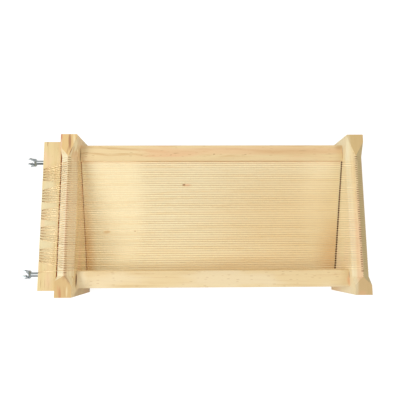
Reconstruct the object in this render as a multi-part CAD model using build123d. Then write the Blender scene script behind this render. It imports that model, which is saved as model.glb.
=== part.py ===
"""Pasta guitar (chitarra): steel wires strung over a beech frame, with a sloping board under them.

Two end posts stand on the table, and two rails join them. The wires run along X over the posts'
ridges. Each loops round nails in the right post and in a loose tension bar at the left, and two wing
screws threaded through the bar push on the left post, which draws the bar outwards and the wires tight.
Cut pasta drops on the slide board and leaves under the front rail, at -Y. Millimetres, +Z up. The
origin is at the middle of the whole object's length and width, on the table.
"""

import os
from math import copysign, cos, radians, sin

from build123d import *

# Frame: two posts of one stock, joined by two rails of another.
frame_center_x = 26.8
frame_length = 382.8
post_lengths = {"left": 202.0, "right": 200.0}
post_thickness = 20.6
frame_height = 90.0
eased_edge = 0.4
rail_width = 21.0
rail_height = 28.0
rail_top = 72.5
rail_inner_y = 70.0

# Top of each post: two horns with a ridge between them, and a saw kerf for each wire.
ridge_top = 89.0
ridge_flat = 1.0
eave_height = 81.2
kerf_count = 52
kerf_pitch = 2.8
kerf_width = 0.7
kerf_depth = 0.9
kerf_reach = 2.2

# Both ends of each hand-cut ridge: its Y, and how far its inner and outer slopes run on past it.
ridge_ends = {
    "left": ((73.2, 25.0, 12.0), (-75.5, 12.0, 6.0)),
    "right": ((73.0, 25.0, 18.0), (-78.5, 9.5, 10.0)),
}

# Slide board: a flat panel that lies on a cleat at each end and enters a groove in the back rail.
board_slope = 18.6
board_top_at_rail = 68.4
board_thickness = 6.0
board_front_y = -92.0
board_gap_left = 0.8
board_gap_right_back = 1.3
board_gap_right_front = 1.6
groove_depth = 5.0
groove_play = 0.03
cleat_width = 9.0
cleat_thickness = 7.0

# Wires: five lengths, each strung back and forth round its own cluster of nails on the bar.
wire_diameter = 0.6
wire_play = 0.02
first_wire_kerf = 2
wires_in_set = (10, 10, 8, 10, 11)
cluster_centers = (50.5, 23.3, 0.0, -23.3, -50.5)
cluster_pitch = 3.3
last_wire_nail_y = -71.3
nail_diameter = 1.2
nail_head_diameter = 2.4
nail_head_thickness = 0.5
nail_length = 13.0
nail_proud = 2.8
nail_height = 70.0

# Tension bar and its two M6 wing screws.
bar_gap = 1.6
bar_thickness = 22.0
bar_width = 186.8
bar_bottom = 9.0
bar_top = 81.0
nick_length = 4.0
nick_depth = 1.2
nick_width = 1.7
screw_y = 74.7
screw_diameter = 6.0
screw_length = 50.0
running_play = 0.05
thread_hole_diameter = 6.6
wing_span = 12.0
wing_tip_x = -221.0
wing_thickness = 3.4
wing_slot = 2.8
neck_length = 2.2
collar_length = 1.6
cup_depth = 5.5
cup_floor = 1.5
cup_diameter = 10.0
tee_flange_diameter = 18.0
tee_flange_thickness = 1.2
tee_barrel_diameter = 7.8
tee_barrel_length = 9.0
tee_prong_length = 6.0
tee_prong_width = 3.0
tee_prong_circle = 15.6

# Wood screws that hold the rails, two in each end.
rail_screw_heights = (54.5, 66.0)
rail_screw_diameter = 4.0
rail_screw_head_diameter = 8.0
rail_screw_head_depth = 2.4
rail_screw_length = 45.0
hidden_sides = 10
nail_sides = 6
wire_sides = 5

# Worked out from the dimensions above.
left_outer = frame_center_x - frame_length / 2
left_inner = left_outer + post_thickness
right_outer = frame_center_x + frame_length / 2
right_inner = right_outer - post_thickness
rail_outer_y = rail_inner_y + rail_width
rail_mid_y = rail_inner_y + rail_width / 2
rail_bottom = rail_top - rail_height
bar_inner = left_outer - bar_gap
bar_outer = bar_inner - bar_thickness
screw_z = (bar_bottom + bar_top) / 2
screw_tip_x = left_outer + cup_depth - running_play
screw_head_x = screw_tip_x - screw_length
wire_radius = wire_diameter / 2
wire_height = ridge_top - kerf_depth + wire_radius + wire_play
kerf_end = kerf_reach / 2
post_mid = {"left": (left_outer + left_inner) / 2, "right": (right_inner + right_outer) / 2}
outward = {"left": -1, "right": 1}


def block(x0, x1, y0, y1, z0, z1):
    """Box between two opposite corners."""
    size = (x1 - x0, y1 - y0, z1 - z0)
    return Pos((x0 + x1) / 2, (y0 + y1) / 2, (z0 + z1) / 2) * Box(*size)


def prism_along_y(points, y0, y1):
    """Prism with an XZ outline, from y0 to y1."""
    face = Face(Wire.make_polygon([(x, y0, z) for x, z in points]))
    return Solid.extrude(face, Vector(0, y1 - y0, 0))


def rod_along_x(x0, x1, y, z, radius):
    """Round rod between two X positions."""
    return Pos((x0 + x1) / 2, y, z) * Rot(0, 90, 0) * Cylinder(radius, abs(x1 - x0))


def faceted_along_x(x0, x1, y, z, radius0, radius1, sides):
    """Many-sided rod, straight or tapered, for hardware that lies hidden in the wood."""
    ends = [
        Plane(origin=(x, y, z), x_dir=(0, 1, 0), z_dir=(1, 0, 0)) * RegularPolygon(radius, sides)
        for x, radius in sorted(((x0, radius0), (x1, radius1)))
    ]
    return loft(ends, ruled=True)


def turned_along_x(profile, y, z):
    """Turned piece: points (x, radius) revolved about the axis through (y, z)."""
    face = Face(Wire.make_polygon([(x, y + radius, z) for x, radius in profile]))
    return revolve(face, Axis((0, y, z), (1, 0, 0)))


def pyramid(base, apex):
    """Solid on a flat base outline that rises to one point."""
    rim = zip(base, base[1:] + base[:1])
    sides = [Face(Wire.make_polygon([a, b, apex])) for a, b in rim]
    return Solid(Shell([Face(Wire.make_polygon(base)), *sides]))


def ease(solid, axis):
    """Take the sharp corner off the edges that run along one axis."""
    return chamfer(solid.edges().filter_by(axis), eased_edge)


def kerf_positions():
    """Y of every saw kerf, from the back to the front."""
    first = kerf_pitch * (kerf_count - 1) / 2
    return [first - kerf_pitch * i for i in range(kerf_count)]


def wire_sets():
    """Y of the wires, as one list for each length of wire."""
    rows, start = [], first_wire_kerf
    for count in wires_in_set:
        rows.append(kerf_positions()[start : start + count])
        start += count
    return rows


def bar_loops():
    """The bar's nails: each nail's Y with the Y of the one or two wires that it holds."""
    loops = []
    for wires, center in zip(wire_sets(), cluster_centers):
        pairs = len(wires) // 2
        for i in range(pairs):
            nail_y = center + cluster_pitch * ((pairs - 1) / 2 - i)
            loops.append((nail_y, wires[2 * i : 2 * i + 2]))
    loops.append((last_wire_nail_y, wire_sets()[-1][-1:]))
    return loops


def post_loops():
    """The right post's nails: each set starts on one nail and turns round the next ones."""
    loops = []
    for wires in wire_sets():
        groups = [wires[:1]] + [wires[i : i + 2] for i in range(1, len(wires), 2)]
        loops += [(sum(group) / len(group), group) for group in groups]
    return loops


def sloping_slab(corners, top, thickness):
    """Slab under the board's upper plane: corners as (x, distance down the slope from the back rail)."""
    slope = radians(board_slope)
    plane = Plane(
        origin=(0, rail_inner_y, board_top_at_rail),
        x_dir=(1, 0, 0),
        z_dir=(0, -sin(slope), cos(slope)),
    )
    outline = make_face(Polyline(*[(x, -down) for x, down in corners], close=True))
    return plane * Pos(0, 0, top - thickness) * extrude(outline, thickness)


def along_slope(y):
    """Distance from the back rail's inner face down the slope to a Y position."""
    return (rail_inner_y - y) / cos(radians(board_slope))


def slide_board():
    """The sloping panel. It stops a little short of both posts, and is not quite square."""
    left = left_inner + board_gap_left
    back, front = along_slope(rail_inner_y + groove_depth), along_slope(board_front_y)
    corners = [
        (left, back),
        (right_inner - board_gap_right_back, back),
        (right_inner - board_gap_right_front, front),
        (left, front),
    ]
    return sloping_slab(corners, 0, board_thickness)


def board_groove():
    """Groove in the back rail for the board's upper edge, a hair larger than the board all round."""
    depth = along_slope(rail_inner_y + groove_depth) - groove_play
    corners = [(left_inner, depth), (right_inner, depth), (right_inner, rail_width), (left_inner, rail_width)]
    return sloping_slab(corners, groove_play, board_thickness + 2 * groove_play)


def board_cleat(side):
    """Strip glued to a post's inner face, which carries one end of the board."""
    face = left_inner if side == "left" else right_inner
    away = face - outward[side] * cleat_width
    back, front = along_slope(rail_inner_y) + cleat_thickness, along_slope(board_front_y)
    corners = [(face, back), (away, back), (away, front), (face, front)]
    return sloping_slab(corners, -board_thickness, cleat_thickness)


def ridge_cut(side):
    """What is planed off a post's top: both slopes of the ridge and the slanting stops at the horns."""
    mid, half = post_mid[side], post_thickness / 2
    flat, over = ridge_flat / 2, 1.0
    roof = [
        (mid - half - over, eave_height),
        (mid - half, eave_height),
        (mid - flat, ridge_top),
        (mid + flat, ridge_top),
        (mid + half, eave_height),
        (mid + half + over, eave_height),
        (mid + half + over, frame_height + over),
        (mid - half - over, frame_height + over),
    ]
    back, front = ridge_ends[side]
    cuts = [prism_along_y(roof, front[0], back[0])]
    for y, inner_stop, outer_stop in (back, front):
        for sign, stop in ((-outward[side], inner_stop), (outward[side], outer_stop)):
            near, far = mid + sign * flat, mid + sign * half
            base = [(near, y, ridge_top), (far, y, eave_height), (far, y, frame_height), (near, y, frame_height)]
            tip = (far, y + copysign(stop, y), frame_height)
            cuts.append(pyramid(base, tip))
    return cuts


def kerf_cuts(side):
    """Saw kerfs over the ridge, each running on down the outer slope."""
    mid, half, out = post_mid[side], post_thickness / 2, outward[side]
    floor = ridge_top - kerf_depth
    foot = eave_height - kerf_depth * 0.6
    over = 1.0
    outline = [
        (mid - out * 2 * kerf_reach, ridge_top + over),
        (mid - out * 2 * kerf_reach, floor),
        (mid + out * kerf_end, floor),
        (mid + out * half, foot),
        (mid + out * (half + over), foot),
        (mid + out * (half + over), ridge_top + over),
    ]
    return [prism_along_y(outline, y - kerf_width / 2, y + kerf_width / 2) for y in kerf_positions()]


def end_post(side):
    """End post: ridged between its horns, with kerfs and the screw holes."""
    x0, x1 = post_mid[side] - post_thickness / 2, post_mid[side] + post_thickness / 2
    half = post_lengths[side] / 2
    post = ease(block(x0, x1, -half, half, 0, frame_height), Axis.Z)
    post -= ridge_cut(side)
    post -= kerf_cuts(side)
    post -= [rail_screw(side, y, z) for y, z in rail_screw_places()]
    if side == "left":
        post -= [thrust_cup_blank(y) for y in (screw_y, -screw_y)]
    else:
        post -= [nail(side, y) for y, _ in post_loops()]
    return post


def rail(sign):
    """Rail between the posts. The back one is grooved for the board's upper edge."""
    y0, y1 = sorted((sign * rail_inner_y, sign * rail_outer_y))
    bar = ease(block(left_inner, right_inner, y0, y1, rail_bottom, rail_top), Axis.X)
    bar -= board_groove()
    bar -= [rail_screw(side, y, z) for side in post_mid for y, z in rail_screw_places() if y * sign > 0]
    return bar


def rail_screw_places():
    """Y and Z of the wood screws in one post."""
    return [(y, z) for y in (rail_mid_y, -rail_mid_y) for z in rail_screw_heights]


def rail_screw(side, y, z):
    """Countersunk wood screw, driven through a post into a rail's end."""
    face = left_outer if side == "left" else right_outer
    inward = -outward[side]
    wide, narrow = rail_screw_head_diameter / 2, rail_screw_diameter / 2
    under_head = face + inward * rail_screw_head_depth
    end = face + inward * rail_screw_length
    head = faceted_along_x(face, under_head, y, z, wide, narrow, hidden_sides)
    return head + faceted_along_x(under_head, end, y, z, narrow, narrow, hidden_sides)


def nail(side, y):
    """Brad driven into the outer face of the right post or the tension bar, left proud for the wire."""
    face = right_outer if side == "right" else bar_outer
    out = outward[side]
    tip = face + out * nail_proud
    under_head = tip - out * nail_head_thickness
    point = tip - out * nail_length

    def outline(x, diameter):
        across = Plane(origin=(x, y, nail_height), x_dir=(0, 1, 0), z_dir=(out, 0, 0))
        return across * RegularPolygon(diameter / 2, nail_sides)

    shank = extrude(outline(point, nail_diameter), nail_length - nail_head_thickness)
    head = extrude(outline(under_head, nail_head_diameter), nail_head_thickness)
    return shank + head


def thrust_cup_blank(y):
    """Outside of the steel cup let into the left post for a wing screw's tip."""
    radius = cup_diameter / 2
    floor = left_outer + cup_depth + cup_floor
    return faceted_along_x(left_outer, floor, y, screw_z, radius, radius, hidden_sides)


def thrust_cup(y):
    """Steel cup that carries a wing screw's tip and takes its thrust."""
    bore = screw_diameter / 2 + running_play
    return thrust_cup_blank(y) - rod_along_x(left_outer - 1, left_outer + cup_depth, y, screw_z, bore)


def tee_nut_blank(y):
    """Outside of a tee nut: flange let in flush with the bar's inner face, barrel and prongs behind it."""
    wide, narrow = tee_flange_diameter / 2, tee_barrel_diameter / 2
    seat = bar_inner - tee_flange_thickness
    flange = faceted_along_x(seat, bar_inner, y, screw_z, wide, wide, hidden_sides)
    barrel = faceted_along_x(seat - tee_barrel_length, seat, y, screw_z, narrow, narrow, hidden_sides)
    blank = flange + barrel
    for turn in range(4):
        r0 = tee_prong_circle / 2 - tee_flange_thickness / 2
        outline = [
            (seat, -tee_prong_width / 2),
            (seat, tee_prong_width / 2),
            (seat - tee_prong_length, 0),
        ]
        prong = Face(Wire.make_polygon([(x, w, r0) for x, w in outline]))
        spike = Solid.extrude(prong, Vector(0, 0, tee_flange_thickness))
        blank += Pos(0, y, screw_z) * Rot(45 + 90 * turn, 0, 0) * spike
    return blank


def tee_nut(y):
    """M6 tee nut in the tension bar."""
    bore = screw_diameter / 2 + running_play
    far = bar_outer
    return tee_nut_blank(y) - rod_along_x(far, bar_inner + 2, y, screw_z, bore)


def tension_bar():
    """Loose bar outside the left post, nicked along its outer top edge for the wires."""
    bar = block(bar_outer, bar_inner, -bar_width / 2, bar_width / 2, bar_bottom, bar_top)
    bar = ease(ease(bar, Axis.Y), Axis.Z)
    for y in (screw_y, -screw_y):
        bar -= tee_nut_blank(y)
        bar -= rod_along_x(bar_outer - 1, bar_inner + 1, y, screw_z, thread_hole_diameter / 2)
    edge = [
        (bar_outer + nick_length, bar_top),
        (bar_outer - 1, bar_top + 1),
        (bar_outer - 1, bar_top - nick_depth),
        (bar_outer, bar_top - nick_depth),
    ]
    nail_ys = [nail_y for nail_y, _ in bar_loops()]
    bar -= [prism_along_y(edge, y - nick_width / 2, y + nick_width / 2) for y in nail_ys]
    bar -= [nail("left", y) for y in nail_ys]
    return bar


def wing_screw(y):
    """M6 wing screw: plain shank, flared neck and collar, and two short upright wings."""
    shank, collar = screw_diameter / 2, wing_span / 2 - 0.5
    neck_end = screw_head_x - neck_length
    collar_end = neck_end - collar_length
    profile = [
        (screw_tip_x, 0),
        (screw_tip_x, shank),
        (screw_head_x, shank),
        (neck_end, collar),
        (collar_end, collar),
        (collar_end, 0),
    ]
    screw = turned_along_x(profile, y, screw_z)
    root, tip = collar_end + 0.6, wing_tip_x
    inner, outer = wing_slot / 2, wing_span / 2
    for sign in (1, -1):
        outline = Polyline(
            (root, y + sign * inner * 0.4),
            (root, y + sign * (outer - 0.6)),
            (tip + 3.2, y + sign * outer),
            (tip + 0.9, y + sign * (outer - 0.7)),
            (tip, y + sign * (outer - 2.2)),
            (tip + 0.4, y + sign * inner),
            (tip + 4.0, y + sign * inner * 0.9),
            close=True,
        )
        wing = extrude(Plane(origin=(0, 0, screw_z)) * make_face(outline), wing_thickness / 2, both=True)
        screw += wing
    return screw


def strand(points):
    """Length of wire along straight runs."""
    path = Polyline(*points)
    section = Plane(origin=path @ 0, z_dir=path % 0) * RegularPolygon(wire_radius, wire_sides)
    return sweep(section, path, transition=Transition.RIGHT)


def hook(face_x, out, nail_y, ends):
    """Wire ends round one nail: down from the first point, under the nail and up to the last."""
    beside = nail_diameter / 2 + wire_radius + 0.05
    x, below = face_x + out * (wire_radius + wire_play), nail_height - beside
    turn = [(x, nail_y + beside, below), (x, nail_y - beside, below)]
    rest = ends[1][::-1] if len(ends) > 1 else [(x, nail_y - beside, nail_height + beside)]
    return strand(ends[0] + turn + rest)


def cutting_wires(wires):
    """The straight spans of one set, from ridge to ridge."""
    x0 = post_mid["left"] - kerf_end
    x1 = post_mid["right"] + kerf_end
    return [strand([(x0, y, wire_height), (x1, y, wire_height)]) for y in wires]


def fixed_ends():
    """Wire from the right post's ridge down its outer slope and round the nails."""
    start_x = post_mid["right"] + kerf_end + 0.25
    eave = eave_height - kerf_depth * 0.6 + wire_radius * 1.3
    edge_x = right_outer + wire_radius + wire_play
    pieces = []
    for nail_y, wires in post_loops():
        ends = [[(start_x, y, wire_height), (edge_x, y, eave)] for y in wires]
        pieces.append(hook(right_outer, 1, nail_y, ends))
    return pieces


def tension_ends():
    """Wire from the left post's ridge across to the bar's nicked edge and round its nails."""
    start_x = post_mid["left"] - kerf_end - 0.3
    edge_x = bar_outer - wire_radius - wire_play
    spread = wire_radius + 0.08
    pieces = []
    for nail_y, wires in bar_loops():
        sides = (1, -1) if len(wires) > 1 else (1,)
        ends = [
            [(start_x, y, wire_height - 0.05), (edge_x, nail_y + side * spread, bar_top - 0.05)]
            for y, side in zip(wires, sides)
        ]
        pieces.append(hook(bar_outer, -1, nail_y, ends))
    return pieces


def write(name, shape):
    """One STEP file for one node. A list of solids becomes a group."""
    body = Compound(children=list(shape)) if isinstance(shape, list) else shape
    export_step(body, f"parts/{name}.step")


def main():
    os.makedirs("parts", exist_ok=True)
    write("left_end_post", end_post("left"))
    write("right_end_post", end_post("right"))
    write("back_rail", rail(1))
    write("front_rail", rail(-1))
    write("slide_board", slide_board())
    for side in post_mid:
        write(f"{side}_board_cleat", board_cleat(side))
    write("rail_screws", [rail_screw(side, y, z) for side in post_mid for y, z in rail_screw_places()])
    write("tension_bar", tension_bar())
    for place, y in (("rear", screw_y), ("front", -screw_y)):
        write(f"{place}_thrust_cup", thrust_cup(y))
        write(f"{place}_tee_nut", tee_nut(y))
        write(f"{place}_wing_screw", wing_screw(y))
    for number, wires in enumerate(wire_sets(), start=1):
        write(f"cutting_wires_{number}", cutting_wires(wires))
    write("fixed_wire_ends", fixed_ends())
    write("tension_wire_ends", tension_ends())
    write("post_nails", [nail("right", y) for y, _ in post_loops()])
    write("bar_nails", [nail("left", y) for y, _ in bar_loops()])


main()
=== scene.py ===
"""Dresses a pasta guitar: bare beech posts and rails, a softwood slide board, strung steel wire,
wire nails and plated wing screws. Every piece is placed from the boxes of the frame's own nodes."""

import math
import random
from functools import partial

import bmesh
import bpy
from bpy.props import FloatProperty, FloatVectorProperty, PointerProperty
from mathutils import Matrix, Vector


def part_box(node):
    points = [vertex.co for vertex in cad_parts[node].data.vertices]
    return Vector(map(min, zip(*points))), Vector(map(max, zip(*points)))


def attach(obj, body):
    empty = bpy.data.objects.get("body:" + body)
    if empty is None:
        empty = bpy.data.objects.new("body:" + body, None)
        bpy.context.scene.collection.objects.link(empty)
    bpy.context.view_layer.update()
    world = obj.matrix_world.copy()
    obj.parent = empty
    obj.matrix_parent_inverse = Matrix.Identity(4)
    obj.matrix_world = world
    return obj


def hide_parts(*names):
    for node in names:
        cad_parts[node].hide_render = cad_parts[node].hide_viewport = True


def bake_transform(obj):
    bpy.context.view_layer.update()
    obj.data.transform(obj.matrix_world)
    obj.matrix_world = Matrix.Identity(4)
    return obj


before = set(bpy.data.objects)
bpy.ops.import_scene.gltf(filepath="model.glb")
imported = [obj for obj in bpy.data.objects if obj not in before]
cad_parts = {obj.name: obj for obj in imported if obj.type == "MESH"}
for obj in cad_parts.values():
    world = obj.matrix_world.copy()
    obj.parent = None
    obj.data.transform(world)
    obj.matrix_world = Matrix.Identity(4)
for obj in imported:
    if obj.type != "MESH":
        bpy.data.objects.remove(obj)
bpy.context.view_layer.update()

bl_info = {
    "name": "Pasta guitar finishes",
    "version": (1, 0, 0),
    "blender": (4, 5, 0),
    "location": "3D View > Sidebar > Pasta Guitar",
    "description": "Wood, wire, nails and wing screws for a strung pasta guitar",
    "category": "Object",
}

MM = 0.001


def tone(red, green, blue):
    """Linear colour from the three values 0-255 that a colour picker shows."""
    shares = (value / 255 for value in (red, green, blue))
    return tuple(s / 12.92 if s <= 0.04045 else ((s + 0.055) / 1.055) ** 2.4 for s in shares)


def colour(label, about, red, green, blue):
    """A colour setting."""
    default = tone(red, green, blue)
    return FloatVectorProperty(
        name=label, description=about, subtype="COLOR", size=3, min=0, max=1, default=default
    )


def length(label, about, millimetres):
    """A length setting, kept in metres."""
    default = millimetres * MM
    return FloatProperty(name=label, description=about, unit="LENGTH", precision=4, default=default)


def share(label, about, value):
    """A setting from 0 to 1."""
    return FloatProperty(name=label, description=about, subtype="FACTOR", min=0, max=1, default=value)


# ---------------------------------------------------------------- settings


class PostLook(bpy.types.PropertyGroup):
    early: colour("Early wood", "Pale beech between the rings", 234, 213, 165)
    late: colour("Late wood", "Tan of the growth rings", 212, 177, 123)
    blush: colour("Blush", "Pink tint that comes and goes", 229, 191, 152)
    streak: colour("Heart streak", "Brown streaks along the horns", 162, 108, 71)
    # Painted shade: the flat horn tops are given these darker tans.
    horn_top_shade: colour("Handled wood", "Golden tan of the left horns' tops", 222, 186, 124)
    horn_top_shade_dark: colour("Handled wood, dark", "Tan of the right horns' tops", 203, 172, 115)
    # Painted shade on the right post's outer slope.
    shade: colour("Outer slope", "Olive tan of the right post's outer slope", 182, 162, 112)
    # Painted light on the right post's inner face and the left post's outer slope.
    bright: colour("Bright face", "Cream of the right post's inner face", 239, 230, 196)
    kerf: colour("Kerf", "Brown of the saw kerfs", 142, 96, 52)
    # Painted shade on the face in the gap by the bar.
    gap: colour("Gap", "Red brown of the face in the gap by the bar", 230, 150, 86)
    # Painted shade in the slits beside the board.
    left_slit_shade: colour("Left slit", "Orange brown that shows in the slit beside the board", 232, 156, 94)
    right_slit_shade: colour("Right slit", "Dark brown that shows in the slit beside the board", 112, 58, 10)
    # Painted shade on the left post's front and back feet.
    shadow: colour("Front foot", "Dull brown of the left post's front foot", 140, 108, 73)
    back_foot_shade: colour("Back foot", "Grey tan of the left post's back foot", 198, 179, 140)
    end_grain: colour("End grain", "Darker sawn ends", 198, 164, 114)
    ring_pitch: length("Ring pitch", "Distance between growth rings", 3.4)
    roughness: share("Roughness", "How dull the sanded wood is", 0.56)


class RailLook(bpy.types.PropertyGroup):
    early: colour("Early wood", "Pale beech between the rings", 233, 209, 160)
    late: colour("Late wood", "Tan of the growth rings", 209, 171, 117)
    blush: colour("Blush", "Pink tint of the heart side", 231, 187, 142)
    pale: colour("Pale wash", "Cream of the front rail", 238, 219, 179)
    fleck: colour("Fleck", "Brown flecks", 152, 104, 58)
    # Painted shade where the rails' left ends meet the left post.
    joint_shade: colour("Groove", "Brown of the lip over the board", 116, 78, 38)
    # Painted shade: the cleats' red brown stands in for the shade seen in the slits.
    cleat_shade: colour("Cleat", "Red brown of the board's cleats", 162, 100, 58)
    end_grain: colour("End grain", "Darker sawn ends", 194, 158, 108)
    ring_pitch: length("Ring pitch", "Distance between growth rings", 5.2)
    roughness: share("Roughness", "How dull the planed wood is", 0.58)


class BoardLook(bpy.types.PropertyGroup):
    early: colour("Early wood", "Cream of the softwood", 255, 243, 202)
    late: colour("Late wood", "Straw line of each ring", 247, 224, 174)
    # Painted shade near the front and the ends of the board.
    painted_shade_tan: colour("Warm end", "Tan where the panel turns darker", 222, 180, 120)
    knot: colour("Knot", "Brown of the pin knots", 148, 86, 40)
    end_grain: colour("End grain", "Darker sawn ends", 208, 172, 118)
    ring_pitch: length("Ring pitch", "Distance between growth rings", 4.6)
    roughness: share("Roughness", "How dull the planed panel is", 0.6)


class BarLook(bpy.types.PropertyGroup):
    early: colour("Early wood", "Pale yellow beech", 226, 203, 148)
    late: colour("Late wood", "Tan of the growth rings", 212, 181, 126)
    blush: colour("Blush", "Pink tint near the edges", 235, 200, 158)
    pale: colour("Pale middle", "Cream of the bar's middle", 227, 214, 173)
    streak: colour("Streak", "Short dark ticks in the grain", 162, 117, 69)
    # Painted shade on the face in the gap by the post.
    gap: colour("Gap", "Red brown of the face in the gap by the post", 230, 150, 86)
    end_grain: colour("End grain", "Darker sawn ends", 198, 164, 114)
    ring_pitch: length("Ring pitch", "Distance between growth rings", 4.2)
    roughness: share("Roughness", "How dull the sanded wood is", 0.56)


class WireLook(bpy.types.PropertyGroup):
    # Painted reflection and shade: the steel's tan and the wire tones below stand in for the wood that each
    # stretch of wire mirrors and the shade it lies in.
    metal: colour("Steel", "Drawn stainless wire", 204, 170, 120)
    brown: colour("Brown wire", "Wire that mirrors the wood of the left post", 186, 150, 108)
    tan: colour("Tan wire", "Wire that mirrors the wood of the tension bar", 222, 198, 156)
    dim: colour("Dim wire", "Wire that dips past the tension bar's outer edge", 168, 134, 90)
    pale: colour("Pale wire", "Wire that mirrors the palest wood", 242, 220, 176)
    olive: colour("Olive wire", "Wire that mirrors the right post's outer slope", 176, 150, 104)
    roughness: share("Roughness", "How dull the wire is", 0.44)
    diameter: length("Diameter", "Thickness of the wire", 0.6)
    bend: length("Bend", "How far each side of a corner the wire starts to turn", 1.6)
    winding: FloatProperty(name="Winding", description="Turns round a nail at a wire's ends", default=2.5)


class NailLook(bpy.types.PropertyGroup):
    metal: colour("Steel", "Bright wire nail gone dull", 150, 148, 142)
    roughness: share("Roughness", "How dull the nails are", 0.42)
    head: length("Head", "Width of the nail head", 2.4)
    shank: length("Shank", "Thickness of the nail", 1.2)
    lean: FloatProperty(
        name="Lean", description="How far a nail may lean", subtype="ANGLE", default=math.radians(2.5)
    )


class ScrewLook(bpy.types.PropertyGroup):
    # Painted reflection: plate, edge, wing and dark are the bands that stand in for what the shank and wings
    # mirror.
    plate: colour("Plating", "Bright nickel plate", 244, 247, 247)
    edge: colour("Plating edge", "Grey of the upper flank", 146, 151, 150)
    wing: colour("Wing plating", "Grey of the wings' broad faces", 160, 165, 165)
    dark: colour("Plating dark", "Near black of the lower flank", 62, 70, 70)
    zinc: colour("Zinc", "Zinc plate of the nuts, cups and wood screws", 182, 183, 180)
    roughness: share("Roughness", "How dull the plating is", 0.18)
    thread_pitch: length("Thread pitch", "Pitch of the screw thread", 1.0)
    thread_depth: length("Thread depth", "Depth of the thread", 0.55)
    screw_length: length("Screw length", "From the tip to the neck", 50.0)
    bare_thread: length("Bare thread", "Thread that shows outside the bar", 3.25)
    neck: length("Neck", "Length that flares from the shank to the collar", 2.2)
    wing_thickness: length("Wing thickness", "Thickness of the two wings", 3.4)
    wing_slot: length("Wing slot", "Gap between the wings", 2.2)


class StageLook(bpy.types.PropertyGroup):
    floor: colour("Floor", "Pale floor", 240, 240, 240)
    key: FloatProperty(name="Key", description="Power of the left lamp", subtype="POWER", default=10.6)
    fill: FloatProperty(name="Fill", description="Power of the right lamp", subtype="POWER", default=4.1)
    sky: FloatProperty(name="Sky", description="Strength of the even light all round", min=0, default=0.6)


# ---------------------------------------------------------------- materials


def new_material(name):
    """Empty material, returned with its node tree."""
    material = bpy.data.materials.new(name)
    material.use_nodes = True
    material.node_tree.nodes.clear()
    return material, material.node_tree


def node(tree, kind, inputs=None, **settings):
    """A node with its settings, whose inputs are set or linked by name or number."""
    made = tree.nodes.new("ShaderNode" + kind)
    for key, value in settings.items():
        setattr(made, key, value)
    for key, value in (inputs or {}).items():
        if isinstance(value, bpy.types.NodeSocket):
            tree.links.new(value, made.inputs[key])
        else:
            made.inputs[key].default_value = value
    return made


def mix(tree, factor, first, second):
    """Mixed colour of two, each a colour or a socket."""
    ways = {6: first, 7: second}
    ways = {key: one if isinstance(one, bpy.types.NodeSocket) else (*one, 1) for key, one in ways.items()}
    return node(tree, "Mix", {0: factor, **ways}, data_type="RGBA").outputs[2]


def sums(tree, kind, first, second=0.0):
    """One Math node."""
    return node(tree, "Math", {0: first, 1: second}, operation=kind).outputs[0]


def times(tree, first, *others):
    """Product of two or more values."""
    for other in others:
        first = sums(tree, "MULTIPLY", first, other)
    return first


def vectors(tree, kind, first, second=(0, 0, 0)):
    """Outputs of one Vector Math node."""
    return node(tree, "VectorMath", {0: first, 1: second}, operation=kind).outputs


def parts(tree, vector):
    """The X, Y and Z of a vector."""
    return node(tree, "SeparateXYZ", {0: vector}).outputs


def remap(tree, value, low, high, to_low=0.0, to_high=1.0):
    """Value smoothly stretched from one range to another."""
    ends = {"Value": value, "From Min": low, "From Max": high, "To Min": to_low, "To Max": to_high}
    return node(tree, "MapRange", ends, interpolation_type="SMOOTHSTEP").outputs[0]


def near(tree, value, at, inner, outer, most=1.0):
    """Most where the value is within inner of at, fading to 0 at outer, all in millimetres."""
    away = sums(tree, "ABSOLUTE", sums(tree, "SUBTRACT", value, at * MM))
    return remap(tree, away, inner * MM, outer * MM, most, 0.0)


def facing(tree, axis, way, low, high, most=1.0):
    """How squarely the surface faces one way along an axis: 0 under low, most over high."""
    normal = parts(tree, node(tree, "TexCoord").outputs["Normal"])[axis]
    return remap(tree, times(tree, normal, way), low, high, 0.0, most)


def placed(tree, vector, location=(0, 0, 0), rotation=(0, 0, 0), scale=(1, 1, 1)):
    """Coordinates moved, turned and stretched."""
    ways = {"Vector": vector, "Location": location, "Rotation": rotation, "Scale": scale}
    return node(tree, "Mapping", ways).outputs[0]


def noise(tree, vector, scale, detail=2.0, roughness=0.5):
    """Outputs of a soft noise."""
    ways = {"Vector": vector, "Scale": scale, "Detail": detail, "Roughness": roughness}
    return node(tree, "TexNoise", ways).outputs


def cloud(tree, vector, stretch, scale, detail=2.0, roughness=0.5):
    """Soft noise from 0 to 1, drawn out along the grain where stretch is small."""
    return noise(tree, placed(tree, vector, scale=(stretch, 1, 1)), scale, detail, roughness)["Fac"]


def bumped(tree, height, strength, depth):
    """Normal of a fine relief of the given depth in millimetres."""
    return node(tree, "Bump", {"Height": height, "Strength": strength, "Distance": depth * MM}).outputs[0]


def surfaced(material, tree, ways):
    """Material with its one shader on the output."""
    node(tree, "OutputMaterial", {"Surface": node(tree, "BsdfPrincipled", ways).outputs[0]})
    return material


def paint_patches(tree, place, body, marks):
    """Body with soft ellipsoids of colour. Each mark gives a corner of the piece, its center from there
    and its reach in millimetres, where its edge starts to fade, its turn about Z, colour and share."""
    for corner, center, reach, edge, turn, paint, amount in marks:
        ways = {
            "Vector": place,
            "Location": [start + offset * MM for start, offset in zip(corner, center)],
            "Rotation": (0, 0, turn),
            "Scale": [one * MM for one in reach],
        }
        unit = node(tree, "Mapping", ways, vector_type="TEXTURE").outputs[0]
        spot = remap(tree, vectors(tree, "LENGTH", unit)["Value"], edge, 1.0, 1.0, 0.0)
        body = mix(tree, times(tree, spot, amount), body, paint)
    return body


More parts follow.
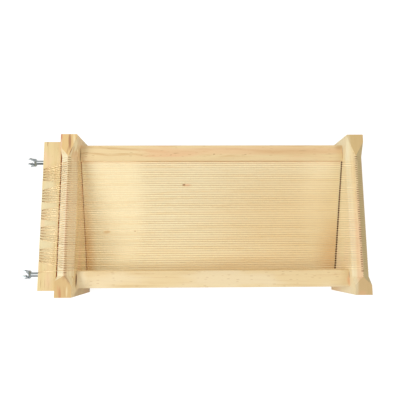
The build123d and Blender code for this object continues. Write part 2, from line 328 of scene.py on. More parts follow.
def painted_gap_shade(tree, place, body, paint, way):
    """Body with painted shade, a red brown, on the face beside the gap of bar and post, as far as
    the bar covers it.
    """
    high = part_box("tension_bar")[1]
    _, y, z = parts(tree, place)
    along = near(tree, y, 0, high.y / MM - 2, high.y / MM - 0.5)
    below = remap(tree, z, high.z - 0.8 * MM, high.z, 1.0, 0.0)
    return mix(tree, times(tree, along, below, facing(tree, 0, way, 0.9, 0.95, 0.8)), body, paint)


def wood(name, look, along, heart, blush, local, lean, flecks, ring_mix, wander):
    """Sawn wood with its grain along X or Y. Heart is where the tree's centre line runs beside the
    piece, lean the grain's two slopes off the piece's length, and wander how far it waves, in
    millimetres. Flecks and ring_mix are the shares of the flecks and of the rings. Blush is a tint that
    comes and goes, and local paints knots and streaks on top. Either may be None."""
    material, tree = new_material(name)
    place = node(tree, "TexCoord").outputs["Object"]
    crosswise = along == "Y"
    grain = placed(tree, place, rotation=(0, 0, -math.pi / 2 if crosswise else 0))
    across = -heart[0] if crosswise else heart[0]

    drift = noise(tree, placed(tree, grain, scale=(0.22, 1, 1)), 26.0)["Color"]
    sway = vectors(tree, "SUBTRACT", drift, (0.5, 0.5, 0.5))[0]
    sway = vectors(tree, "MULTIPLY", sway, (0, wander * MM, wander * MM))[0]
    swayed = vectors(tree, "ADD", grain, sway)[0]
    trunk = placed(tree, swayed, location=(0, -across, -heart[1]), rotation=(0, *lean))
    ways = {"Vector": trunk, "Scale": math.pi / (10 * look.ring_pitch)}
    ways.update({"Distortion": 0.6, "Detail": 2.0, "Detail Scale": 0.4})
    kinds = {"wave_type": "RINGS", "rings_direction": "X", "wave_profile": "SIN"}
    rings = node(tree, "TexWave", ways, **kinds).outputs["Fac"]
    fibre = cloud(tree, swayed, 0.035, 900.0, 5.0, 0.62)
    band = cloud(tree, swayed, 0.05, 170.0, 3.0)

    late_share = times(tree, remap(tree, rings, 0.25, 1.0), ring_mix)
    late_share = sums(tree, "ADD", late_share, remap(tree, fibre, 0.35, 0.7, -0.22, 0.22))
    late_share = sums(tree, "ADD", late_share, remap(tree, band, 0.3, 0.7, -0.16, 0.24))
    body = mix(tree, remap(tree, late_share, 0.0, 1.0), look.early, look.late)
    if blush is not None:
        tint = remap(tree, cloud(tree, grain, 0.3, 42.0), 0.46, 0.66, 0.0, 0.75)
        body = mix(tree, tint, body, blush)

    cells = {"Vector": placed(tree, grain, scale=(0.2, 1, 1)), "Scale": 520.0, "Randomness": 1.0}
    cells = node(tree, "TexVoronoi", cells).outputs
    fleck = remap(tree, cells["Distance"], 0.16, 0.28, 1.0, 0.0)
    rare = remap(tree, node(tree, "SeparateColor", {0: cells["Color"]}).outputs[0], 0.62, 0.66)
    body = mix(tree, times(tree, fleck, rare, flecks), body, look.end_grain)
    if local is not None:
        body = local(tree, place, body)

    axis = (0, 1, 0) if crosswise else (1, 0, 0)
    end_on = vectors(tree, "DOT_PRODUCT", node(tree, "TexCoord").outputs["Normal"], axis)["Value"]
    pores = remap(tree, cloud(tree, grain, 1, 1500.0, 3.0), 0.35, 0.65, 0.0, 0.5)
    sawn = mix(tree, pores, look.end_grain, look.late)
    body = mix(tree, remap(tree, sums(tree, "ABSOLUTE", end_on), 0.75, 0.95, 0.0, 0.8), body, sawn)

    bump = bumped(tree, sums(tree, "ADD", fibre, times(tree, rings, -0.35)), 0.35, 0.25)
    dull = remap(tree, late_share, 0.0, 1.0, look.roughness + 0.06, look.roughness - 0.06)
    ways = {"Base Color": body, "Roughness": dull, "Specular IOR Level": 0.32, "Normal": bump}
    return surfaced(material, tree, ways)


def metal(name, base, roughness, stain, marks=()):
    """Plated or drawn metal: faint clouds of tarnish, and fine scratches that change its gloss."""
    material, tree = new_material(name)
    place = node(tree, "TexCoord").outputs["Object"]
    tarnish = remap(tree, cloud(tree, place, 1, 260.0, 3.0), 0.4, 0.75, 0.0, 0.7)
    scratches = cloud(tree, place, 0.08, 2700.0, 3.0, 0.6)
    body = paint_patches(tree, place, mix(tree, tarnish, base, stain), marks)
    dull = remap(tree, scratches, 0.3, 0.7, roughness - 0.07, roughness + 0.1)
    bump = bumped(tree, scratches, 0.12, 0.05)
    ways = {"Base Color": body, "Metallic": 1.0, "Roughness": dull, "Normal": bump}
    return surfaced(material, tree, ways)


def plated(name, look, across, stops):
    """Plate with painted reflection, bright with bands of grey: across gives their place from -1 to 1,
    and stops their colours. Faces that look towards the bar are painted a bluer grey and are duller."""
    material, tree = new_material(name)
    coords = node(tree, "TexCoord").outputs
    along = node(tree, "MapRange", {0: across(tree, coords), 1: -1.0, 2: 1.0}).outputs[0]
    band = node(tree, "ValToRGB", {0: along})
    ramp = band.color_ramp
    while len(ramp.elements) < len(stops):
        ramp.elements.new(0.5)
    for element, (at, paint) in zip(ramp.elements, stops):
        element.position, element.color = at, (*paint, 1)
    clouds = cloud(tree, coords["Object"], 1, 420.0, 3.0)
    body = mix(tree, remap(tree, clouds, 0.45, 0.8, 0.0, 0.4), band.outputs[0], look.edge)
    # Painted reflection: faces towards the bar get a fixed bluer grey in place of the bar's gold.
    flare = facing(tree, 0, 1, 0.15, 0.35)
    body = mix(tree, flare, body, tone(150, 164, 176))
    shine = sums(tree, "SUBTRACT", 1.0, times(tree, flare, 0.85))
    dull = remap(tree, clouds, 0.3, 0.7, look.roughness - 0.04, look.roughness + 0.08)
    bump = bumped(tree, clouds, 0.08, 0.05)
    ways = {"Base Color": body, "Metallic": shine, "Roughness": dull, "Normal": bump}
    return surfaced(material, tree, ways)


def finish_node(name, material):
    """Give a node of the frame its material."""
    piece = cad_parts[name]
    if not piece.material_slots:
        piece.data.materials.append(material)
    for holder in piece.material_slots:
        holder.material = material


# ---------------------------------------------------------------- mesh helpers


def mesh_piece(name, bm, material, smooth_angle=35.0):
    """Object from a bmesh, with faces outward and shaded smooth up to an angle."""
    bmesh.ops.recalc_face_normals(bm, faces=bm.faces)
    mesh = bpy.data.meshes.new(name)
    bm.to_mesh(mesh)
    bm.free()
    mesh.materials.append(material)
    mesh.shade_smooth()
    mesh.set_sharp_from_angle(angle=math.radians(smooth_angle))
    piece = bpy.data.objects.new(name, mesh)
    bpy.context.scene.collection.objects.link(piece)
    return piece


def turned(bm, profile, axis_y, axis_z, steps, closed=False):
    """Spin a profile of (x, radius) points about the X line through (axis_y, axis_z)."""
    verts = [bm.verts.new((x, axis_y + radius, axis_z)) for x, radius in profile]
    edges = [bm.edges.new(pair) for pair in zip(verts, verts[1:])]
    if closed:
        edges.append(bm.edges.new((verts[-1], verts[0])))
    cent = (0, axis_y, axis_z)
    bmesh.ops.spin(
        bm, geom=verts + edges, cent=cent, axis=(1, 0, 0), angle=math.tau, steps=steps, use_merge=True
    )
    bmesh.ops.remove_doubles(bm, verts=bm.verts, dist=1e-6)


def plate(outline, low_z, thickness, rounding):
    """Bmesh of a flat plate with an XY outline, its edges rounded."""
    bm = bmesh.new()
    face = bm.faces.new([bm.verts.new((x, y, low_z)) for x, y in outline])
    grown = bmesh.ops.extrude_face_region(bm, geom=[face])["geom"]
    top = [part for part in grown if isinstance(part, bmesh.types.BMVert)]
    bmesh.ops.translate(bm, verts=top, vec=(0, 0, thickness))
    bmesh.ops.recalc_face_normals(bm, faces=bm.faces)
    bmesh.ops.bevel(
        bm, geom=bm.edges[:], affect="EDGES", offset=rounding, segments=3, profile=0.5, material=-1
    )
    return bm


def poured(bm, other):
    """Add another bmesh's faces to this one."""
    holder = bpy.data.meshes.new("holder")
    other.to_mesh(holder)
    other.free()
    bm.from_mesh(holder)
    bpy.data.meshes.remove(holder)


def centred(name):
    """A turned node's two corners, and the Y and Z of its axis."""
    low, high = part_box(name)
    return low, high, (low.y + high.y) / 2, (low.z + high.z) / 2


# ---------------------------------------------------------------- wire paths

# Lengths and places are in millimetres, and the slope is in degrees. The eave is the lower edge of the
# right post's outer slope, where a wire turns down, and clearance is the wire's gap over wood.
wire_sets = [f"cutting_wires_{number}" for number in range(1, 6)]
wires_in_set = (10, 10, 8, 10, 11)
kerf_pitch = 2.8
board_slope = 18.6
board_thickness = 6
bar_cluster_centers = (50.5, 23.3, 0.0, -23.3, -50.5)
bar_nail_pitch = 3.3
last_bar_nail = -71.3
eave_height = 81.05
nail_radius = 0.6
clearance = 0.02


def wire_rows():
    """Y of each wire, set by set, from the frame's wire nodes."""
    rows = []
    for name, count in zip(wire_sets, wires_in_set):
        low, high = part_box(name)
        radius = (high.z - low.z) / 2
        first, last = high.y - radius, low.y + radius
        rows.append([first + (last - first) * i / (count - 1) for i in range(count)])
    return rows


def bar_nail_rows():
    """Y of the bar's nails, set by set."""
    rows = []
    for count, center in zip(wires_in_set, bar_cluster_centers):
        pairs = count // 2
        rows.append([(center + bar_nail_pitch * ((pairs - 1) / 2 - i)) * MM for i in range(pairs)])
    rows[-1].append(last_bar_nail * MM)
    return rows


def post_nail_rows():
    """Y of the right post's nails, set by set: the first wire alone, and the rest in pairs."""
    rows = []
    for wires in wire_rows():
        groups = [wires[:1]] + [wires[i : i + 2] for i in range(1, len(wires), 2)]
        rows.append([sum(group) / len(group) for group in groups])
    return rows


def round_nail(x, nail_y, nail_z, reach, eighths):
    """Point beside a nail, some eighths of a turn from its +Y side down to its -Y side."""
    angle = -math.tau * eighths / 8
    return Vector((x, nail_y + reach * math.cos(angle), nail_z + reach * math.sin(angle)))


def coil(face_x, out, nail_y, nail_z, radius, turns, wire):
    """Points of a winding round a nail, from the wood face outwards. It starts just over half a wire off
    the face, and each turn lies just over a wire beyond the last."""
    reach = radius / math.cos(math.pi / 8)
    rises = [wire * 0.53 + wire * 1.02 * i / 8 for i in range(int(turns * 8) + 1)]
    return [round_nail(face_x + out * rise, nail_y, nail_z, reach, i) for i, rise in enumerate(rises)]


def strung_path(number, look):
    """Points of one set's wire, from its wound start to its wound end."""
    wires, bar_nails, post_nails = wire_rows()[number], bar_nail_rows()[number], post_nail_rows()[number]
    radius, diameter = look.diameter / 2, look.diameter
    wire_low, wire_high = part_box(wire_sets[number])
    top = (wire_low.z + wire_high.z) / 2
    post_low, post_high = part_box("right_end_post")
    bar_low, bar_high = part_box("tension_bar")
    nail_low, nail_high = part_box("post_nails")
    nail_z = (nail_low.z + nail_high.z) / 2
    # The wire lies beside its nails, clear of the wood, and turns just past its straight span's ends.
    beside = nail_radius * MM + radius + 0.05 * MM
    post_x, bar_x = post_high.x + radius + clearance * MM, bar_low.x - radius - clearance * MM
    ridge_right, ridge_left = wire_high.x + 0.25 * MM, wire_low.x - 0.3 * MM
    eave = post_low.z + eave_height * MM
    nick = bar_high.z - 0.05 * MM

    def down_right(y, side_y):
        """From the right ridge down to a nail's side."""
        return list(map(Vector, ((ridge_right, y, top), (post_x, y, eave), (post_x, side_y, nail_z))))

    def down_left(y, nick_y, side_y):
        """From the left ridge across the gap and down to a nail's side."""
        return list(map(Vector, ((ridge_left, y, top), (bar_x, nick_y, nick), (bar_x, side_y, nail_z))))

    runs = []
    for i, y in enumerate(wires):
        nail = post_nails[(i + 1) // 2]
        alone = i == 0 or (i == len(wires) - 1 and len(wires) % 2 == 0)
        side = 1 if (i % 2 == 1 or alone) else -1
        right = down_right(y, nail + side * beside)
        bar_nail = bar_nails[i // 2]
        side = 1 if i % 2 == 0 else -1
        left = down_left(y, bar_nail + side * (radius + 0.08 * MM), bar_nail + side * beside)
        runs.append((right, left))

    path = coil(post_high.x, 1, post_nails[0], nail_z, beside, look.winding, diameter)[:0:-1]
    for i, (right, left) in enumerate(runs):
        forward = i % 2 == 0
        points = right[::-1] + left if forward else left[::-1] + right
        path.append(points[0] + (points[1] - points[0]) * 0.08)
        for before, point, after in zip(points, points[1:], points[2:]):
            path += [point + (target - point).normalized() * look.bend for target in (before, after)]
        path.append(points[-1] + (points[-2] - points[-1]) * 0.08)
        if i < len(runs) - 1:
            nail = bar_nails[i // 2] if forward else post_nails[(i + 1) // 2]
            # The reach is a little over the wire's own, because the curve cuts inside its points.
            path += [round_nail(points[-1].x, nail, nail_z, beside * 1.08, eighth) for eighth in range(5)]
    end = (bar_low.x, -1, bar_nails[-1]) if len(wires) % 2 else (post_high.x, 1, post_nails[-1])
    return path + coil(*end, nail_z, beside, look.winding, diameter)


def strung_wire(number, look, material):
    """One set's wire as a round tube along its path."""
    name = f"strung_wire_{number + 1}"
    points = strung_path(number, look)
    curve = bpy.data.curves.new(name, "CURVE")
    curve.dimensions = "3D"
    curve.bevel_depth = look.diameter / 2
    curve.bevel_resolution = 1
    curve.use_fill_caps = True
    curve.resolution_u = 2
    spline = curve.splines.new("NURBS")
    spline.points.add(len(points) - 1)
    for slot, point in zip(spline.points, points):
        slot.co = (*point, 1)
    spline.order_u = 3
    spline.use_endpoint_u = True
    holder = bpy.data.objects.new(name + "_line", curve)
    mesh = bpy.data.meshes.new_from_object(holder)
    bpy.data.objects.remove(holder)
    bm = bmesh.new()
    bm.from_mesh(mesh)
    bpy.data.meshes.remove(mesh)
    bmesh.ops.remove_doubles(bm, verts=bm.verts, dist=1e-7)
    return mesh_piece(name, bm, material, 60.0)


# ---------------------------------------------------------------- operators


class DressPosts(bpy.types.Operator):
    """Give both end posts their beech, with the brown heart streaks of the left one's horns"""

    bl_idname = "pasta_guitar.dress_posts"
    bl_label = "Dress the end posts"

    def execute(self, context):
        look = context.scene.post_look
        self.left_post(look)
        self.right_post(look)
        return {"FINISHED"}

    def left_post(self, look):
        """Pink edge, brown stripe and cream strip on the back horn, the front horn's red one, and the
        painted shade on the feet."""
        name, out = "left_end_post", -1
        low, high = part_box(name)
        back, ridge, front = ((low.x, y, high.z) for y in (high.y, 0, low.y))
        marks = (
            (back, (0.6, -9, -6), (2, 17, 22), 0.4, 0, look.blush, 0.9),
            (back, (1, -3, 0), (1.7, 7, 9), 0.3, 0, tone(196, 120, 92), 0.7),
            (back, (11.6, -9, 0), (2.4, 15, 14), 0.35, 0.04, look.streak, 0.8),
            (back, (9.4, -21, -1), (1.6, 9, 6), 0.3, -0.2, look.streak, 0.35),
            (back, (17.4, -9, 0), (1.8, 15, 10), 0.4, 0.1, look.early, 0.95),
            # Painted shade: a dark line along the lower edge of the inner stop.
            (back, (13.4, -21, -2), (0.55, 6.6, 4), 0.3, -0.36, look.streak, 0.95),
            (front, (6.8, 4, 0), (2.2, 12, 12), 0.3, 0.05, tone(190, 116, 76), 0.6),
            (front, (4.2, 9, 0), (1.2, 9, 9), 0.3, 0, tone(214, 160, 112), 0.6),
            # Painted light on the inner slope.
            (ridge, (16.3, 0, -6), (6, 88, 20), 0.7, 0, tone(246, 226, 180), 0.8),
            (back, (17.3, -27, -7), (6, 9, 9), 0.5, 0, tone(214, 172, 122), 0.6),
            (front, (10.8, 24, -3), (4, 6, 6), 0.3, 0, look.streak, 0.35),
            (front, (15.8, 19, -3), (2, 7, 6), 0.3, 0.4, look.streak, 0.3),
            (front, (15, 7, 0), (1.4, 9, 9), 0.3, 0, look.early, 0.8),
            (front, (12, 7, 0), (0.7, 8, 9), 0.3, 0.05, look.streak, 0.3),
            # Painted shade in the joint beside the front rail's end.
            (front, (20.6, 21, -18.5), (0.8, 8.5, 3.2), 0.85, 0, tone(164, 92, 42), 0.85),
            # Painted shade on the feet.
            (front, (20, 0, -60), (1.2, 15, 62), 0.8, 0, look.shadow, 0.45),
            (back, (20, 0, -50), (1, 9, 75), 0.2, 0, look.back_foot_shade, 0.5),
        )

        def paint(tree, place, body):
            # Painted shade on the flat horn tops.
            body = self.horn_top_shade(tree, place, body, look.horn_top_shade, tone(209, 174, 116))
            body = painted_gap_shade(tree, place, paint_patches(tree, place, body, marks), look.gap, out)
            body = self.slit(tree, place, body, look.left_slit_shade, over=1.0, way=-out)
            # Painted light on the left post's outer slope.
            body = self.outer_slope(tree, place, body, name, out, look.bright, amount=0.8, run_on=72)
            return self.kerfs(tree, place, body, name, out, look.kerf, ridge_at=-1, strength=0.7, dashes=0.12)

        heart = ((low.x + high.x) / 2 + 34 * MM, low.z - 20 * MM)
        figure = {"lean": (0.02, 0.03), "flecks": 0.4, "ring_mix": 0.5, "wander": 9.0}
        finish_node(name, wood("left_post_beech", look, "Y", heart, look.blush, paint, **figure))

    def right_post(self, look):
        """Painted shade on the horn tops and the outer slope, and painted light on the pale inner face."""
        name, out = "right_end_post", 1
        low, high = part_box(name)
        foot, front = (low.x, 0, low.z), (low.x, low.y, high.z)
        marks = (
            # Painted light on the right post's inner face.
            (foot, (1, 0, 60), (7, 160, 60), 0.6, 0, look.bright, 0.6),
            (front, (8, 2, 0), (8, 5, 6), 0.2, 0, tone(222, 172, 128), 0.5),
        )

        def paint(tree, place, body):
            # Painted shade on the flat horn tops.
            body = self.horn_top_shade(tree, place, body, look.horn_top_shade_dark, tone(196, 165, 113))
            body = paint_patches(tree, place, body, marks)
            body = self.slit(tree, place, body, look.right_slit_shade, over=2.2, way=-out)
            # Painted shade on the right post's outer slope.
            body = self.outer_slope(tree, place, body, name, out, look.shade, amount=0.85, run_on=84)
            return self.kerfs(tree, place, body, name, out, look.kerf, ridge_at=0.6, strength=0.95, dashes=0)

        heart = ((low.x + high.x) / 2 + 22 * MM, high.z + 70 * MM)
        figure = {"lean": (-0.02, 0.015), "flecks": 0.5, "ring_mix": 0.35, "wander": 9.0}
        finish_node(name, wood("right_post_beech", look, "Y", heart, look.blush, paint, **figure))

    def horn_top_shade(self, tree, place, body, back_paint, front_paint):
        """Painted shade on the flat horn tops, in one colour at the back and another at the front."""
        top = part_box("left_end_post")[1].z
        _, y, z = parts(tree, place)
        paint = mix(tree, remap(tree, y, -10 * MM, 10 * MM), front_paint, back_paint)
        high_up = remap(tree, z, top - 0.8 * MM, top - 0.2 * MM)
        flat = times(tree, high_up, facing(tree, 2, 1, 0.98, 0.995), 0.85)
        return mix(tree, flat, body, paint)

    def ridge(self, tree, place, name, out):
        """Four values: distance outwards from a post's ridge, place from one kerf (0) to halfway to the
        next (0.5), distance along the ridge, and 1 at the kerfs' height."""
        low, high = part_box(name)
        x, y, z = parts(tree, place)
        off = times(tree, sums(tree, "SUBTRACT", x, (low.x + high.x) / 2), out)
        phase = sums(tree, "PINGPONG", sums(tree, "DIVIDE", y, kerf_pitch * MM), 0.5)
        return off, phase, y, remap(tree, z, 79.5 * MM, 81 * MM)

    def outer_slope(self, tree, place, body, name, out, paint, amount, run_on):
        """Paint on the outer slope beyond the zigzag of the kerfs, painted light on the left post and
        painted shade on the right. It fades on the horns, run_on millimetres from the post's middle."""
        off, phase, y, high_up = self.ridge(tree, place, name, out)
        teeth = sums(tree, "ADD", off, times(tree, phase, 6.4 * MM))
        leaning = times(tree, facing(tree, 0, out, 0.2, 0.4), near(tree, y, 0, run_on, run_on + 12))
        beyond = times(tree, remap(tree, teeth, 1.6 * MM, 2.6 * MM), high_up, leaning)
        return mix(tree, times(tree, beyond, amount), body, paint)

    def kerfs(self, tree, place, body, name, out, paint, ridge_at, strength, dashes):
        """Brown at the kerfs along the ridge, with fainter dashes down the outer slope."""
        off, phase, y, high_up = self.ridge(tree, place, name, out)
        along = times(tree, high_up, near(tree, y, 0, 72.5, 73.5))
        cut = times(tree, remap(tree, phase, 0.22, 0.34), along)
        on_ridge = near(tree, off, ridge_at, 1.1, 2.3, strength)
        on_slope = near(tree, off, 4, 2, 4, dashes)
        return mix(tree, times(tree, cut, sums(tree, "MAXIMUM", on_ridge, on_slope)), body, paint)

    def slit(self, tree, place, body, paint, over, way):
        """Painted shade: brown on the inner face under the slide board's upper plane, and over
        millimetres above it.
        """
        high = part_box("slide_board")[1]
        lean = math.radians(board_slope)
        rim = (0, high.y - board_thickness * MM * math.sin(lean), high.z)
        offset = vectors(tree, "SUBTRACT", place, rim)[0]
        above = vectors(tree, "DOT_PRODUCT", offset, (0, -math.sin(lean), math.cos(lean)))["Value"]
        upper = remap(tree, above, (over - 0.8) * MM, over * MM, 1.0, 0.0)
        band = sums(tree, "MINIMUM", remap(tree, above, -8 * MM, -6 * MM), upper)
        band = times(tree, band, near(tree, parts(tree, place)[1], 0, 70, 72))
        return mix(tree, times(tree, band, facing(tree, 0, way, 0.9, 0.95)), body, paint)


class DressRails(bpy.types.Operator):
    """Give the two rails and the board's cleats their wavy-grained beech"""

    bl_idname = "pasta_guitar.dress_rails"
    bl_label = "Dress the rails"

    def execute(self, context):
        look = context.scene.rail_look
        self.back_rail(look)
        self.front_rail(look)
        figure = {"lean": (0.05, 0.02), "flecks": 0.6, "ring_mix": 0.5, "wander": 11.0}
        # Painted shade: the cleats are tinted red brown.
        cleats = wood("cleat_beech", look, "X", (0.05, 0.2), look.cleat_shade, None, **figure)
        for name in ("left_board_cleat", "right_board_cleat"):
            finish_node(name, cleats)
        return {"FINISHED"}

    def back_rail(self, look):
        """Dark flecks, a pink wash along the middle, a painted highlight along the lip over the board
        and painted shade on the face under it.
        """
        low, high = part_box("back_rail")
        left, lip, right = ((x, low.y, high.z) for x in (low.x, 0, high.x))
        flecks = (
            ((29.1, 9, 0), (1.7, 0.8, 2), 0.1, 0.9),
            ((-26.9, 8.2, 0), (2.4, 0.6, 2), 0.2, 0.6),
            ((-20, 10.5, 0), (6, 0.5, 2), 0, 0.5),
            ((70, 8.5, 0), (2.6, 0.6, 2), 0, 0.6),
            ((-65, 8, 0), (2.4, 0.5, 2), 0, 0.5),
            ((145, 13.5, 0), (8, 0.6, 2), 0, 0.4),
            ((180, 9, 0), (9, 0.6, 2), 0.03, 0.4),
        )
        marks = [
            (lip, (90, 14, 0), (200, 7.5, 20), 0.4, 0, look.blush, 0.5),
            (lip, (130, 12, 0), (90, 9, 20), 0.1, 0, look.late, 0.45),
            # Painted highlight along the lip.
            (lip, (20, 0, 0), (300, 7, 20), 0.7, 0, look.early, 0.7),
            # Painted shade on the rail's inner face under the lip.
            (lip, (27, 0, -2.9), (600, 0.5, 2.6), 0.9, 0, tone(206, 132, 66), 0.95),
            # Painted shade of the post on the rail's left end.
            (left, (0, 9, 0), (1.1, 13, 6), 0.4, 0, look.joint_shade, 0.9),
            (right, (-4, 18, 0), (8, 5, 6), 0.1, 0, look.fleck, 0.28),
            (right, (0, 10, 0), (1, 12, 6), 0.4, 0, look.fleck, 0.6),
        ]
        for center, reach, turn, amount in flecks:
            marks.append((lip, center, reach, 0.2, turn, look.fleck, amount))
        paint = partial(paint_patches, marks=marks)
        heart = (low.y - 24 * MM, low.z - 12 * MM)
        figure = {"lean": (0.022, 0.03), "flecks": 0.6, "ring_mix": 0.42, "wander": 20.0}
        finish_node("back_rail", wood("back_rail_beech", look, "X", heart, look.blush, paint, **figure))

    def front_rail(self, look):
        """Pinkish sawn end beside the right post, and painted light on the end beside the left."""
        low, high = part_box("front_rail")
        left, right = ((x, low.y, high.z) for x in (low.x, high.x))
        marks = (
            (right, (0, 8, 0), (5, 9, 9), 0.3, 0, tone(226, 168, 124), 0.6),
            # Painted light where the post's shadow falls on the rail's left end.
            (left, (6, 12, 0), (10, 15, 6), 0.3, 0, tone(255, 240, 202), 0.6),
            # Painted shade in the joint at the rail's left end.
            (left, (0, 10, 0), (1.5, 11, 9), 0.5, 0, look.joint_shade, 0.95),
            (right, (0, 15, 0), (0.9, 5, 9), 0.5, 0, look.fleck, 0.9),
        )
        paint = partial(paint_patches, marks=marks)
        heart = (high.y + 60 * MM, high.z + 30 * MM)
        figure = {"lean": (0.01, 0.02), "flecks": 0.5, "ring_mix": 0.22, "wander": 16.0}
        finish_node("front_rail", wood("front_rail_beech", look, "X", heart, look.pale, paint, **figure))


class DressBoard(bpy.types.Operator):
    """Give the slide board its pale softwood with two pin knots"""

    bl_idname = "pasta_guitar.dress_board"
    bl_label = "Dress the slide board"

    def execute(self, context):
        look = context.scene.board_look
        low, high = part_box("slide_board")
        whole, edge = (0, 0, 0), (0, low.y, low.z)
        left, right = (low.x, 0, 0), (high.x, 0, 0)
        # First tan over the right half, painted shade in a darker tan along the front and at both ends, and
        # orange along the front edge; then the pin knots, the first with a faint halo.
        marks = (
            (whole, (130, 0, 40), (170, 120, 80), 0.1, 0, tone(238, 206, 146), 0.5),
            (edge, (90, 20, 8), (200, 32, 40), 0.1, 0, look.painted_shade_tan, 0.35),
            (right, (0, -55, 26), (36, 85, 60), 0.1, 0, look.painted_shade_tan, 0.75),
            (left, (0, -45, 30), (17, 115, 60), 0.1, 0, look.painted_shade_tan, 0.85),
            (edge, (30, 8, 4), (190, 24, 30), 0.1, 0, tone(252, 205, 128), 0.55),
            (whole, (-6.2, 40.6, 58.6), (8, 2.2, 6), 0.2, 0, tone(236, 166, 122), 0.6),
            (whole, (-10.3, 40.9, 58.6), (2.8, 1.7, 6), 0.4, 0, look.knot, 1.0),
            (whole, (-114.2, -19.3, 38.3), (7, 3.4, 6), 0.3, 0.15, tone(236, 202, 146), 0.9),
            (whole, (-76.6, -18.2, 38.7), (1.9, 1.2, 6), 0.3, 0, look.knot, 0.6),
            (whole, (65, -42, 31), (9, 2, 6), 0.2, 0, look.late, 0.6),
        )
        paint = partial(paint_patches, marks=marks)
        figure = {"lean": (0.012, 0.01), "flecks": 0.1, "ring_mix": 0.3, "wander": 9.0}
        board = wood("board_softwood", look, "X", (-0.03, -0.16), None, paint, **figure)
        finish_node("slide_board", board)
        return {"FINISHED"}


class DressBar(bpy.types.Operator):
    """Give the tension bar its pale beech with a few dark ticks"""

    bl_idname = "pasta_guitar.dress_bar"
    bl_label = "Dress the tension bar"

    def execute(self, context):
        look = context.scene.bar_look
        low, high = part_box("tension_bar")
        back, middle, front = ((low.x, y, high.z) for y in (high.y, 0, low.y))
        # A dark tick near the back end, thin lines at the front end, and a pale middle with a blush.
        marks = (
            (back, (4.5, -2, 0), (0.6, 6, 4), 0.3, 0, look.streak, 0.9),
            (front, (4, 9, 0), (0.6, 8, 4), 0.3, 0, look.streak, 0.5),
            (front, (9, 8, 0), (0.5, 9, 4), 0.3, 0.05, look.streak, 0.4),
            (front, (14, 7, 0), (0.5, 8, 4), 0.3, 0, look.streak, 0.3),
            (back, (2, -18, 0), (2.6, 9, 4), 0.2, 0, look.blush, 0.8),
            (middle, (9, -5, 0), (14, 68, 8), 0.6, 0, look.pale, 0.7),
            (middle, (3, -10, 0), (3.2, 26, 5), 0.2, 0, look.blush, 0.5),
        )

        def paint(tree, place, body):
            return painted_gap_shade(tree, place, paint_patches(tree, place, body, marks), look.gap, 1)

        heart = ((low.x + high.x) / 2 - 26 * MM, high.z + 40 * MM)
        figure = {"lean": (0.012, -0.02), "flecks": 0.4, "ring_mix": 0.4, "wander": 9.0}
        finish_node("tension_bar", wood("bar_beech", look, "Y", heart, look.blush, paint, **figure))
        return {"FINISHED"}


class StringWires(bpy.types.Operator):
    """String the five lengths of wire over the ridges and round the nails"""

    bl_idname = "pasta_guitar.string_wires"
    bl_label = "String the wires"

    def execute(self, context):
        look = context.scene.wire_look
        steel = metal("wire_steel", look.metal, look.roughness, tone(184, 162, 120), self.marks(look))
        for number, name in enumerate(wire_sets):
            piece = strung_wire(number, look, steel)
            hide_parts(name, "fixed_wire_ends", "tension_wire_ends")
            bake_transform(piece)
        return {"FINISHED"}

    def marks(self, look):
        """Painted reflection: browner at the left post and the bar, paler over the board's far left
        and the right post.
        """
        whole = (0, 0, 0)
        return (
            (whole, (-94, 12, 88), (44, 130, 30), 0.5, 0, look.pale, 1.0),
            (whole, (-149, 0, 88), (14, 140, 30), 0.6, 0, look.brown, 0.9),
            (whole, (-182, 0, 80), (27, 140, 40), 0.7, 0, look.tan, 1.0),
            (whole, (-188.5, 0, 70), (17, 140, 50), 0.2, 0, look.dim, 0.9),
            (whole, (165, 0, 88), (40, 140, 30), 0.3, 0, look.pale, 0.6),
            (whole, (205, 0, 88), (26, 140, 30), 0.6, 0, look.pale, 0.9),
            (whole, (220.5, 0, 80), (12, 140, 30), 0.93, 0, look.olive, 1.0),
        )


class DriveNails(bpy.types.Operator):
    """Drive the round-headed nails into the right post and the tension bar"""

    bl_idname = "pasta_guitar.drive_nails"
    bl_label = "Drive the nails"

    def execute(self, context):
        look = context.scene.nail_look
        steel = metal("nail_steel", look.metal, look.roughness, tone(112, 104, 94))
        rows = (
            ("post_nails", "frame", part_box("right_end_post")[1].x, 1, post_nail_rows()),
            ("bar_nails", "tension_bar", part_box("tension_bar")[0].x, -1, bar_nail_rows()),
        )
        draw = random.Random(11)
        for node_name, body, face, out, sets in rows:
            low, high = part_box(node_name)
            tip = high.x if out > 0 else low.x
            point = low.x if out > 0 else high.x
            middle = (low.z + high.z) / 2
            bm = bmesh.new()
            for y in (y for one in sets for y in one):
                self.nail(bm, look, draw, (face, y, middle), tip, point, out)
            piece = mesh_piece(node_name + "_driven", bm, steel, 40.0)
            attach(piece, body)
            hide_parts(node_name)
        return {"FINISHED"}

    def nail(self, bm, look, draw, seat, tip, point, out):
        """One nail: point, shank and a low domed head, leaning a little about where it enters."""
        face, y, z = seat
        shank, head = look.shank / 2, look.head / 2
        inset = ((0.62, shank * 0.98), (0.48, head * 0.94), (0.26, head * 0.98))
        inset += ((0.06, head * 0.6), (0.02, 0))
        profile = [(point, 0), (point + out * 1.6 * MM, shank * 0.98)]
        profile += [(tip - out * back * MM, radius) for back, radius in inset]
        one = bmesh.new()
        turned(one, profile, y, z, 10)
        leaning = Matrix.Rotation(draw.uniform(-1, 1) * look.lean, 4, "Y")
        leaning = leaning @ Matrix.Rotation(draw.uniform(-1, 1) * look.lean, 4, "Z")
        bmesh.ops.rotate(one, cent=(face, y, z), matrix=leaning.to_3x3(), verts=one.verts)
        poured(bm, one)


